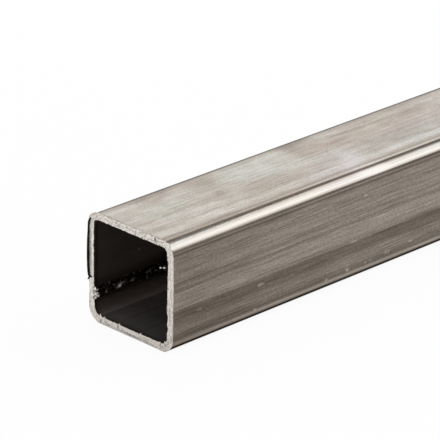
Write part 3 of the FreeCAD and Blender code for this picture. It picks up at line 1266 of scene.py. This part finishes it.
@dataclass
class SawBurr(TubePiece):
    """A near-black curl of burr left hanging on the near rim: the one on its outer edge if not told
    otherwise.

    Args:
        plane: X of the cut.
        name: The piece's name.
        path: Girth, depth into the wall, and half-width of the curl at each point, in mm.
        profile: How far behind the cut its crest, its sides and its root lie, in half-widths.
        step: Distance between its rings, in mm.
        waviness: How it wanders.
    """

    finishes: ClassVar[tuple[Finish, ...]] = (BurntBurr(),)
    plane: float
    name: str = "saw_burr"
    path: tuple[tuple[float, float, float], ...] = (
        (78.6, 0.14, 0.05), (79.1, 0.04, 0.18), (79.9, -0.08, 0.24), (81, -0.17, 0.22), (82.4, -0.27, 0.21),
        (84, -0.34, 0.23), (86, -0.4, 0.24), (88, -0.37, 0.26), (90, -0.31, 0.26), (91.4, -0.25, 0.24),
        (92.2, -0.12, 0.23), (92.4, 0.15, 0.22), (92.45, 0.5, 0.17), (92.5, 0.85, 0.05),
    )
    profile: tuple[float, float, float] = (-1.6, -0.8, 1.8)
    step: float = 0.15
    waviness: Bumps = Bumps(0.03, 0.8, 4.0)

    def build(self) -> None:
        """Makes the mesh: a thin four-sided curl along the path."""
        outline = self.section.outline()
        girth = outline.travelled[:-1] / MM
        path = np.array(self.path)
        legs = np.hypot(*np.diff(path[:, :2], axis=0).T)
        travelled = np.concatenate([[0], np.cumsum(legs)])
        spots = np.arange(0, travelled[-1], self.step)
        at, depth, half = (np.interp(spots, travelled, path[:, i]) for i in range(3))
        base, out = (np.stack([
            np.interp(at, girth, values[:, i], period=outline.travelled[-1] / MM) for i in (0, 1)], axis=1)
            for values in (outline.points, outline.outward))
        wander = np.array([self.waviness.at(spot) for spot in spots])
        middle = base - out * (depth + wander)[:, None] * MM
        along = np.gradient(middle, axis=0)
        along /= np.linalg.norm(along, axis=1)[:, None]
        across = np.stack([along[:, 1], -along[:, 0]], axis=1)
        points = []
        for (y, z), (side_y, side_z), reach in zip(middle, across, half * MM):
            crest, side, root = (self.plane + share * reach for share in self.profile)
            points += [
                (crest, y, z), (side, y + side_y * reach, z + side_z * reach),
                (root, y, z), (side, y - side_y * reach, z - side_z * reach)]
        last = len(points) - 1
        faces = [*join_rings(len(middle), 4), (0, 1, 2, 3), (last, last - 1, last - 2, last - 3)]
        places = [(0.0, 0.0)] * sum(len(one) for one in faces)
        self.piece = make_piece(self.name, np.array(points), faces, [0] * len(faces), places)


@dataclass
class BeadCurl(SawBurr):
    """A bright curl that the saw tore out of the weld flash."""

    finishes: ClassVar[tuple[Finish, ...]] = (BrightBurr(),)


@dataclass(frozen=True)
class SoftBox:
    """A soft lamp that faces the tube from some way off.

    Args:
        name: The lamp's name.
        azimuth: Its direction from the tube, in degrees from +X towards +Y.
        elevation: Its height above the floor, in degrees.
        distance: Its distance from the tube, in metres.
        width: Its width.
        height: Its height.
        brightness: What a white mirror of it would show, 1 for white.
    """

    name: str
    azimuth: float
    elevation: float
    distance: float
    width: float
    height: float
    brightness: float

    def build(self, target: Vector) -> None:
        """Hangs the lamp.

        Args:
            target: The point that it faces.
        """
        lamp = bpy.data.lights.new(self.name, "AREA")
        lamp.shape = "RECTANGLE"
        lamp.size = self.width
        lamp.size_y = self.height
        lamp.energy = self.brightness * math.pi * self.width * self.height
        hung = add_object(self.name, lamp)
        back = face_direction(self.azimuth, self.elevation)
        hung.location = target + back * self.distance
        hung.rotation_mode = "QUATERNION"
        hung.rotation_quaternion = (-back).to_track_quat("-Z", "Y")
        hung.visible_camera = False


@dataclass(frozen=True)
class PhotoCamera:
    """The camera at the photo's angle.

    Args:
        azimuth: Its direction from the tube, in degrees from +X towards +Y.
        elevation: Its height above the floor, in degrees.
        roll: How far it is turned about its line of sight, in degrees.
        distance: Its distance from the point that it aims at.
        aim_run: How far that point lies behind the cut, on the top face.
        aim_across: The point's Y.
        focal_length: Its focal length, in mm.
        frame_width: Its frame's width, in mm.
    """

    azimuth: float = -135.23
    elevation: float = 23.08
    roll: float = 0.876
    distance: float = 742.12 * MM
    aim_run: float = 15.96 * MM
    aim_across: float = -10.255 * MM
    focal_length: float = 289.9
    frame_width: float = 36.0

    def build(self, near_end: float, side: float) -> None:
        """Sets up the camera.

        Args:
            near_end: X of the tube's near end.
            side: The tube's side.
        """
        back = face_direction(self.azimuth, self.elevation)
        level = Vector((0.0, 0.0, 1.0)).cross(back).normalized()
        roll = math.radians(self.roll)
        right = math.cos(roll) * level + math.sin(roll) * back.cross(level)
        lens = bpy.data.cameras.new("photo_camera")
        lens.lens = self.focal_length
        lens.sensor_width = self.frame_width
        camera = add_object("photo_camera", lens)
        aim = Vector((near_end + self.aim_run, self.aim_across, side))
        turned = Matrix((right, back.cross(right), back)).transposed().to_4x4()
        camera.matrix_world = Matrix.Translation(aim + back * self.distance) @ turned
        bpy.context.scene.camera = camera


@dataclass
class Studio:
    """The pale floor, the soft lamps and the camera.

    Args:
        near_end: X of the tube's near end.
        side: The tube's side.
        paper_reach: How far the floor goes each way, in metres.
        paper_colour: The floor's colour.
        paper_glow: How much of the floor's white is its own where the camera sees it.
        paper_sheen: The same where the metal or glass shows it.
        contact_reach: How near the tube the floor loses that white, for a dark line where they touch.
        room_colour: The room's colour around the lamps.
        room_brightness: How bright it is there.
        lamp_aim: How far behind the near end the lamps are aimed.
        lamps: The soft lamps.
        camera: The camera.
    """

    near_end: float
    side: float
    paper_reach: float = 6.0
    paper_colour: str = "#FAFAF9"
    paper_glow: float = 0.945
    paper_sheen: float = 0.45
    contact_reach: float = 0.2 * MM
    room_colour: str = "#FFFEFC"
    room_brightness: float = 0.35
    lamp_aim: float = 50 * MM
    lamps: Sequence[SoftBox] = (
        SoftBox("back_softbox", 47.0, 33.0, 1.3, 1.4, 1.1, 1.0),
        SoftBox("right_softbox", -29.0, 33.0, 1.3, 1.3, 0.85, 1.45),
        SoftBox("overhead_softbox", 0.0, 90.0, 1.4, 1.4, 1.4, 1.4),
    )
    camera: PhotoCamera = PhotoCamera()

    def build_world(self) -> None:
        """Fills the room with even pale light."""
        world = bpy.data.worlds.new("studio_room")
        bpy.context.scene.world = world
        painter = Painter.start(world)
        room = painter.add("Background", inputs={"Color": self.room_colour, "Strength": self.room_brightness})
        painter.add("OutputWorld", inputs={"Surface": room})

    def build_floor(self) -> None:
        """Lays matt white paper under the tube: it gives no highlight and next to no shadow."""
        mesh = bpy.data.meshes.new("studio_floor")
        reach = self.paper_reach
        corners = [(-reach, -reach, 0), (reach, -reach, 0), (reach, reach, 0), (-reach, reach, 0)]
        mesh.from_pydata(corners, [], [(0, 1, 2, 3)])
        floor = add_object("studio_floor", mesh)
        made = bpy.data.materials.new("matt_white_paper")
        painter = Painter.start(made)
        paper = painter.add("BsdfDiffuse", inputs={"Color": self.paper_colour})
        glow = painter.add("Emission", inputs={"Color": "#FFFFFF", "Strength": 1.0})
        rays = painter.add("LightPath").outputs
        mirrored = painter.add("Math", {"operation": "MAXIMUM"}, {
            0: rays["Is Glossy Ray"], 1: rays["Is Transmission Ray"]})
        unshaded = painter.add("AmbientOcclusion", inputs={"Distance": self.contact_reach}).outputs["AO"]
        share = painter.add("Math", {"operation": "MULTIPLY_ADD"}, {
            0: painter.product(rays["Is Camera Ray"], unshaded), 1: self.paper_glow,
            2: painter.product(mirrored, self.paper_sheen)})
        both = painter.add("MixShader", inputs={0: share, 1: paper, 2: glow})
        painter.add("OutputMaterial", inputs={"Surface": both})
        mesh.materials.append(made)

    def build(self) -> None:
        """Sets up the whole studio."""
        self.build_world()
        self.build_floor()
        for lamp in self.lamps:
            lamp.build(Vector((self.near_end + self.lamp_aim, 0, self.side / 2)))
        self.camera.build(self.near_end, self.side)
        bpy.context.scene.view_settings.view_transform = "Standard"


# How the saw left the near rim, by girth: the TornRim and SawBurr fields say what each number is.
NEAR_INNER_BURR = (
    (0, 0), (0.7, -0.08), (1.6, -0.15), (2.4, -0.08), (4, 0.02), (5.5, 0.1), (8.2, 0.1), (8.5, 0.85),
    (8.8, 0.1), (9.5, 0.05), (9.85, 0.65), (10.2, 0), (14.1, 0.02), (14.35, 0.5), (14.6, 0), (20.6, 0),
    (20.85, 0.5), (21.1, 0), (26.5, 0.1), (26.75, 0.35), (27, 0.05), (29.2, 0.3), (30, 0.5), (30.7, 0.1),
    (33.2, 0.08), (34.8, -0.2), (35.5, 0.08), (37.3, -0.15), (39.3, 0.2), (41, -0.05), (43, 0.06),
    (44.5, -0.1), (46, 0.06), (48.8, -0.2), (50, 0), (51.2, 0.25), (52.2, 0.05), (53.2, 0), (66, 0.03),
    (76.6, 0), (77.4, -0.2), (78.3, -0.42), (79.2, -0.32), (93, -0.29), (94.4, -0.13), (96, 0),
)
NEAR_OUTER_LIP = (
    (0, 0.05), (4, 0.1), (8, -0.05), (12, -0.15), (25, -0.15), (29, 0), (34, 0.12), (50, 0.12), (53, 0),
    (57, -0.08), (74.6, -0.08), (76, 0.05), (77, 0.25), (78, 0.42), (80, 0.45), (81.5, 0.3), (84, 0.24),
    (90, 0.22), (92, 0.12), (93, 0.1), (96, 0.05),
)
BURR_TAIL = ((92.2, 0.1, 0.1), (92.7, -0.08, 0.16), (93.2, -0.3, 0.16), (93.4, -0.48, 0.08))
# The bright curls on the weld flash: how far behind the near end, in mm, and the path.
BEAD_CURLS = (
    (0, ((94.4, 1.86, 0.1), (94.55, 1.92, 0.24), (94.95, 1.98, 0.24), (95.1, 2, 0.1))),
    (0, ((95.2, 1.6, 0.1), (95.45, 1.7, 0.24), (95.85, 1.96, 0.24), (96.35, 2.35, 0.12))),
    (20.2, ((95.6, 2.14, 0.15), (95.7, 2.16, 0.36), (96.15, 2.28, 0.36), (96.3, 2.32, 0.15))),
    (19.1, ((95.25, 2.08, 0.1), (95.35, 2.1, 0.26), (95.7, 2.2, 0.26), (95.8, 2.22, 0.1))),
)


def main() -> None:
    """Builds the tube and its studio, piece by piece."""
    low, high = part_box(TUBE_NODE)
    section = TubeSection(side=high.z - low.z)
    length = high.x - low.x
    rims = TornRim(TubeEnd.NEAR, NEAR_INNER_BURR, NEAR_OUTER_LIP), TornRim(TubeEnd.FAR)
    parts = (
        TubeWall(section, length, rims), WeldFlash(section, length),
        SawBurr(section, low.x), SawBurr(section, low.x, "saw_burr_tail", BURR_TAIL),
        *(BeadCurl(section, low.x + run * MM, f"bead_curl_{count}", path)
          for count, (run, path) in enumerate(BEAD_CURLS)))
    for part in parts:
        part.build()
        part.dress()
        log.info("%s: %d faces", part.piece.name, len(part.piece.data.polygons))
    Studio(low.x, section.side).build()


if __name__ == "__main__":
    main()
